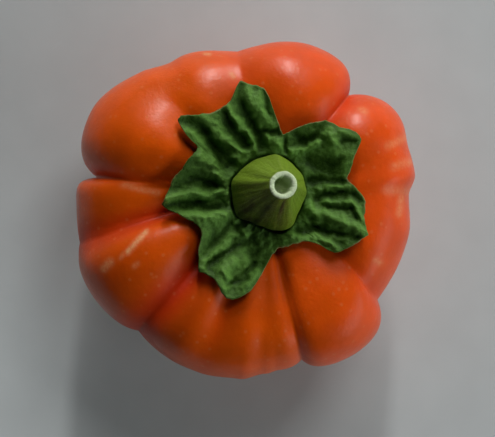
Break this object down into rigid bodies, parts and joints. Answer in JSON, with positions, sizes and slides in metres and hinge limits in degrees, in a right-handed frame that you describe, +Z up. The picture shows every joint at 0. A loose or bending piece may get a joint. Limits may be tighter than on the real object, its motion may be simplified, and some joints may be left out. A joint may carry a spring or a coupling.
{
  "type": "chilli pepper",
  "caption": "Squat deeply ribbed chilli pepper with a star-shaped wrinkled calyx and a short cut stem, resting on its blossom end with the stem up.",
  "frame": {"origin": "middle of the object's outline seen from above, at the plane the blossom end rests on", "axes": "+Z up through the crown and the stem; -Y towards the lower edge of the picture, +X towards its right edge"},
  "size_m": [0.0503, 0.0501, 0.0404],
  "materials": {
    "orange_skin": "waxy ripe fruit skin, soft gloss",
    "calyx_green": "leathery wrinkled leaf, nearly matt",
    "stem_green": "fibrous green stem, soft sheen"
  },
  "bodies": {
    "root": {"fruit": "orange_skin", "calyx": "calyx_green", "stem": "stem_green"}
  },
  "joints": []
}
